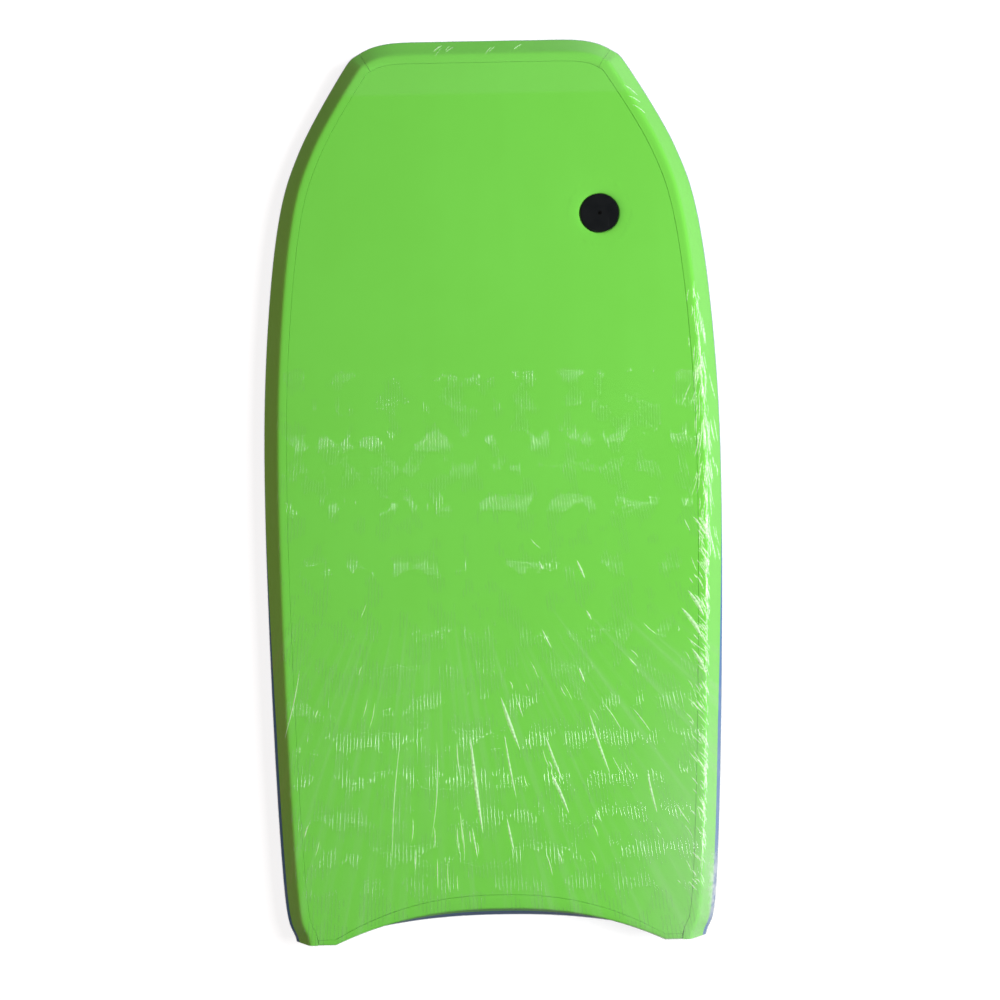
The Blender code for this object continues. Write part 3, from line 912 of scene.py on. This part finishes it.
def fold_material():
    """Film pinched double in a fold: still clear, but with a white haze and a hard shine. The white
    haze is partly the pinched film's own whitening and partly a painted highlight.
    """
    n = Nodes("clear_film_fold")
    stripes = n.noise(n.place, 420.0, 2.0)
    # The white haze is partly the fold's own whitening and partly a painted highlight on the fold.
    haze = n.ramp(stripes, 0.30, 0.70, 0.35, 0.75)
    clear = n.add("ShaderNodeBsdfTransparent")
    cloudy = n.add("ShaderNodeBsdfDiffuse")
    cloudy.inputs["Color"].default_value = (0.90, 0.94, 0.90, 1.0)
    gloss = n.add("ShaderNodeBsdfGlossy")
    gloss.inputs["Roughness"].default_value = 0.15
    through = n.add("ShaderNodeBsdfTranslucent")
    through.inputs["Color"].default_value = (0.90, 0.94, 0.90, 1.0)
    body = n.mix_shader(haze, clear, n.mix_shader(0.35, cloudy, through))
    return n.finish(n.mix_shader(0.08, body, gloss).outputs[0])


class Folds:
    """Narrow raised pleats laid on the film, collected in one mesh."""

    def __init__(self, sheet):
        self.ground = BVHTree.FromObject(sheet, bpy.context.evaluated_depsgraph_get())
        self.mesh = bmesh.new()

    def drop(self, x, y):
        """The place on the film under (x, y), and the film's normal there."""
        place, normal, _, _ = self.ground.ray_cast(Vector((x, y, 0.2)), Vector((0, 0, -1)))
        return place, normal

    def add(self, path, width, height):
        """A pleat along the path, tapered at both ends, in a section of five points."""
        rows = []
        for i, spot in enumerate(path):
            share = i / (len(path) - 1)
            swell = abs(math.sin(math.pi * share)) ** 0.7 + 0.04
            ahead = path[min(i + 1, len(path) - 1)] - path[max(i - 1, 0)]
            side = Vector((ahead.y, -ahead.x)).normalized()
            row = []
            for across, up in ((-1.0, 0.0), (-0.45, 0.65), (0.0, 1.0), (0.45, 0.65), (1.0, 0.0)):
                x, y = spot + side * (across * swell * width / 2)
                place, normal = self.drop(x, y)
                if place is None:
                    return
                lift = up * swell * height + (0.00012 if up else -0.00005)
                row.append(self.mesh.verts.new(place + normal * lift))
            rows.append(row)
        for low, high in zip(rows, rows[1:]):
            for i in range(4):
                self.mesh.faces.new((low[i], low[i + 1], high[i + 1], high[i]))


def bent_path(start, end, bend, steps):
    """From start to end, bowed sideways by the given distance at the middle."""
    along = end - start
    side = Vector((along.y, -along.x)).normalized()
    shares = [i / steps for i in range(steps + 1)]
    return [start + along * t + side * (bend * math.sin(math.pi * t)) for t in shares]


def main_folds(folds):
    for start, end, bend, width in MAIN_FOLDS:
        path = bent_path(Vector(start), Vector(end), bend, 14)
        folds.add(path, FOLD_WIDENED * width, FOLD_HEIGHT * width)


def fan_folds(folds, rng):
    """Short pleats that point away from the centre of the fan."""
    for _ in range(FAN_FOLDS):
        turn = rng.uniform(-0.75, 1.05)
        reach = 0.14 + 0.33 * math.sqrt(rng.random())
        out = Vector((math.sin(turn), -math.cos(turn)))
        start = FAN_CENTRE + out * reach
        end = start + out * rng.uniform(0.008, 0.034)
        if abs(start.x) > 0.205 or end.y < -0.420:
            continue
        path = bent_path(start, end, rng.uniform(-0.001, 0.001), 6)
        folds.add(path, rng.uniform(0.0006, 0.0013), 0.0005)


def rail_x(y):
    """How far out the right side is at this place along the board."""
    ys = [p.y for p in SIDE_LINE]
    return float(np.interp(y, ys, [p.x for p in SIDE_LINE]))


def rail_crinkles(folds, rng):
    """Strands along the ridge of the right rail, looser ones round it, and creases into it. The
    strands on the ridge also paint its highlight as a broken white line.
    """
    # Painted highlight: these white strands crowd onto the ridge line, where they stand for the
    # foam edge's bright line as well as for film strands.
    for _ in range(RIDGE_HIGHLIGHT_STRANDS):
        y = 0.215 - 0.60 * rng.random()
        back = y - rng.uniform(0.006, 0.024)
        start = Vector((rail_x(y) - RIDGE_INSET + rng.gauss(0.0, 0.0011), y))
        end = Vector((rail_x(back) - RIDGE_INSET + rng.gauss(0.0, 0.0011), back))
        width = rng.uniform(0.0005, 0.0013)
        path = bent_path(start, end, rng.uniform(-0.0006, 0.0006), 6)
        folds.add(path, width, STRAND_HEIGHT * width)
    for _ in range(LOOSE_STRANDS):
        y = 0.205 - 0.27 * rng.random()
        aside = rng.gauss(0.0, 0.0058)
        start = Vector((rail_x(y) - RIDGE_INSET + aside, y))
        lean = rng.gauss(0.0, 0.12) + 22.0 * aside
        end = start + Vector((math.sin(lean), -math.cos(lean))) * rng.uniform(0.008, 0.030)
        end.x = min(end.x, rail_x(end.y) - 0.004)
        width = rng.uniform(0.0005, 0.0012)
        path = bent_path(start, end, rng.uniform(-0.0015, 0.0015), 7)
        folds.add(path, width, STRAND_HEIGHT * width)
    for _ in range(RAIL_CREASES):
        y = -0.03 - 0.38 * rng.random() ** 1.4
        start = Vector((rail_x(y) - RIDGE_INSET - abs(rng.gauss(0.0, 0.0090)), y))
        lean = math.radians(rng.gauss(33.0, 7.0))
        end = start + Vector((math.sin(lean), -math.cos(lean))) * rng.uniform(0.005, 0.017)
        end.x = min(end.x, rail_x(end.y) - RIDGE_INSET + 0.003)
        width = rng.uniform(0.0006, 0.0014)
        path = bent_path(start, end, rng.uniform(-0.0010, 0.0004), 6)
        folds.add(path, width, STRAND_HEIGHT * width)


def nose_creases(folds, rng):
    """Short slanting creases where the film bends over the nose."""
    for _ in range(NOSE_CREASES):
        start = Vector((rng.uniform(-0.050, 0.072), 0.4640 - 0.004 * rng.random()))
        end = start - Vector((rng.uniform(0.003, 0.008), rng.uniform(0.006, 0.012)))
        width = rng.uniform(0.0003, 0.0005)
        folds.add(bent_path(start, end, 0.0005, 5), width, CREASE_HEIGHT * width)


def film_folds(sheet, look):
    """All the folds, as one piece that lies on the film and casts no shadow."""
    folds = Folds(sheet)
    rng = random.Random(FOLD_SEED)
    main_folds(folds)
    fan_folds(folds, rng)
    rail_crinkles(folds, rng)
    nose_creases(folds, rng)
    pleats = finish("film_folds", folds.mesh, look, closed=False)
    pleats.visible_shadow = False


# The stage.


def floor(look):
    """A wide pale floor, which neither lights the board nor shows in its gloss."""
    bm = bmesh.new()
    bmesh.ops.create_grid(bm, x_segments=1, y_segments=1, size=40.0)
    piece = finish("floor", bm, look, body=None, closed=False)
    piece.visible_diffuse = False
    piece.visible_glossy = False


def floor_material():
    """Pale paper that glows a little, so that shadows on it stay faint."""
    n = Nodes("pale_paper")
    cloud = n.noise(n.place, 3.0)
    tone = n.mix_color(cloud, (0.30, 0.30, 0.30, 1.0), (0.32, 0.32, 0.32, 1.0))
    shader = n.principled(tone, 0.9, specular=0.0)
    shader.inputs["Emission Color"].default_value = (1.0, 1.0, 1.0, 1.0)
    shader.inputs["Emission Strength"].default_value = FLOOR_GLOW
    return n.finish(shader.outputs[0])


def area_light(name, place, aim, size, radiance, color=(1.0, 1.0, 1.0)):
    data = bpy.data.lights.new(name, "AREA")
    data.shape = "RECTANGLE"
    data.size, data.size_y = size
    data.energy = radiance * math.pi * size[0] * size[1]
    data.color = color
    light = bpy.data.objects.new(name, data)
    light.location = place
    light.rotation_euler = (Vector(aim) - Vector(place)).to_track_quat("-Z", "Y").to_euler()
    bpy.context.scene.collection.objects.link(light)
    return light


def key_and_fill():
    """A soft key from the right and a low warm fill from the left. The film doesn't mirror them."""
    key = area_light("key", *KEY)
    fill = area_light("fill", *FILL, WARM)
    for light in (key, fill):
        light.visible_glossy = False


def tube_lights():
    """Thin tubes beside the camera, seen only as rows of glints in the ridges of the film."""
    for row_y, low_x, high_x, radiance in TUBE_ROWS:
        mirror = Vector(((low_x + high_x) / 2, row_y)) * 2 - CAMERA_PLACE.xy
        place = Vector((mirror.x, mirror.y, CAMERA_PLACE.z))
        size = (2 * (high_x - low_x), TUBE_WIDTH)
        light = area_light("tube", place, place - Vector((0, 0, 1)), size, radiance)
        light.rotation_euler = (0.0, 0.0, TUBE_TURN)
        light.visible_diffuse = False
        light.visible_camera = False


def world():
    """Bright along the horizon, dark overhead and dim below it."""
    sky = bpy.data.worlds.new("studio")
    sky.use_nodes = True
    nodes, links = sky.node_tree.nodes, sky.node_tree.links
    axes = nodes.new("ShaderNodeSeparateXYZ")
    place = nodes.new("ShaderNodeTexCoord")
    links.new(place.outputs["Generated"], axes.inputs[0])
    strength = nodes["Background"].inputs["Strength"]
    bands = []
    above, below = (0.06, 0.20, HORIZON, OVERHEAD), (-0.30, -0.04, BELOW, HORIZON)
    for low, high, to_low, to_high in (above, below):
        band = nodes.new("ShaderNodeMapRange")
        links.new(axes.outputs["Z"], band.inputs["Value"])
        band.inputs["From Min"].default_value = low
        band.inputs["From Max"].default_value = high
        band.inputs["To Min"].default_value = to_low
        band.inputs["To Max"].default_value = to_high
        bands.append(band.outputs[0])
    dimmer = nodes.new("ShaderNodeMath")
    dimmer.operation = "MINIMUM"
    links.new(bands[0], dimmer.inputs[0])
    links.new(bands[1], dimmer.inputs[1])
    links.new(dimmer.outputs[0], strength)
    nodes["Background"].inputs["Color"].default_value = (1.0, 1.0, 1.0, 1.0)
    bpy.context.scene.world = sky


def camera():
    """Level over the board, with the lens shifted so that the board stays in the frame."""
    data = bpy.data.cameras.new("camera")
    data.lens = 36.0 * (CAMERA_PLACE.z - DECK_TOP) / FRAME_WIDTH
    data.shift_x = -(CAMERA_PLACE.x - AIM.x) / FRAME_WIDTH
    data.shift_y = -(CAMERA_PLACE.y - AIM.y) / FRAME_WIDTH
    shown = bpy.data.objects.new("camera", data)
    shown.location = CAMERA_PLACE
    shown.rotation_euler = (0.0, 0.0, ROLL)
    bpy.context.scene.collection.objects.link(shown)
    bpy.context.scene.camera = shown
    bpy.context.scene.view_settings.view_transform = "Standard"


green = foam_material("green_foam_skin", GREEN, GREEN_SHADE)
blue = foam_material("blue_foam_skin", BLUE, BLUE_SHADE)
clear = film_material()
deck_sheet(green)
slick_sheet(slick_material())
rail_strips("upper", upper_places, green)
rail_strips("lower", lower_places, blue)
nose_strip("upper", upper_places, green)
nose_strip("lower", lower_places, blue)
tail_strip("upper", upper_tail_places(), green)
tail_strip("lower", lower_tail_places(), blue)

wrap = film_over(clear)
film_folds(wrap, fold_material())
film_under(clear)
plug_film(clear)

for node, look in (
    ("foam_core", bead_material()),
    ("plug_screw", plug_material()),
    ("plug_base", plug_material()),
    ("deck_seal", seal_material()),
    ("base_seal", seal_material()),
):
    for place in frame["nodes"][node].material_slots:
        place.material = look

floor(floor_material())
world()
key_and_fill()
camera()
tube_lights()
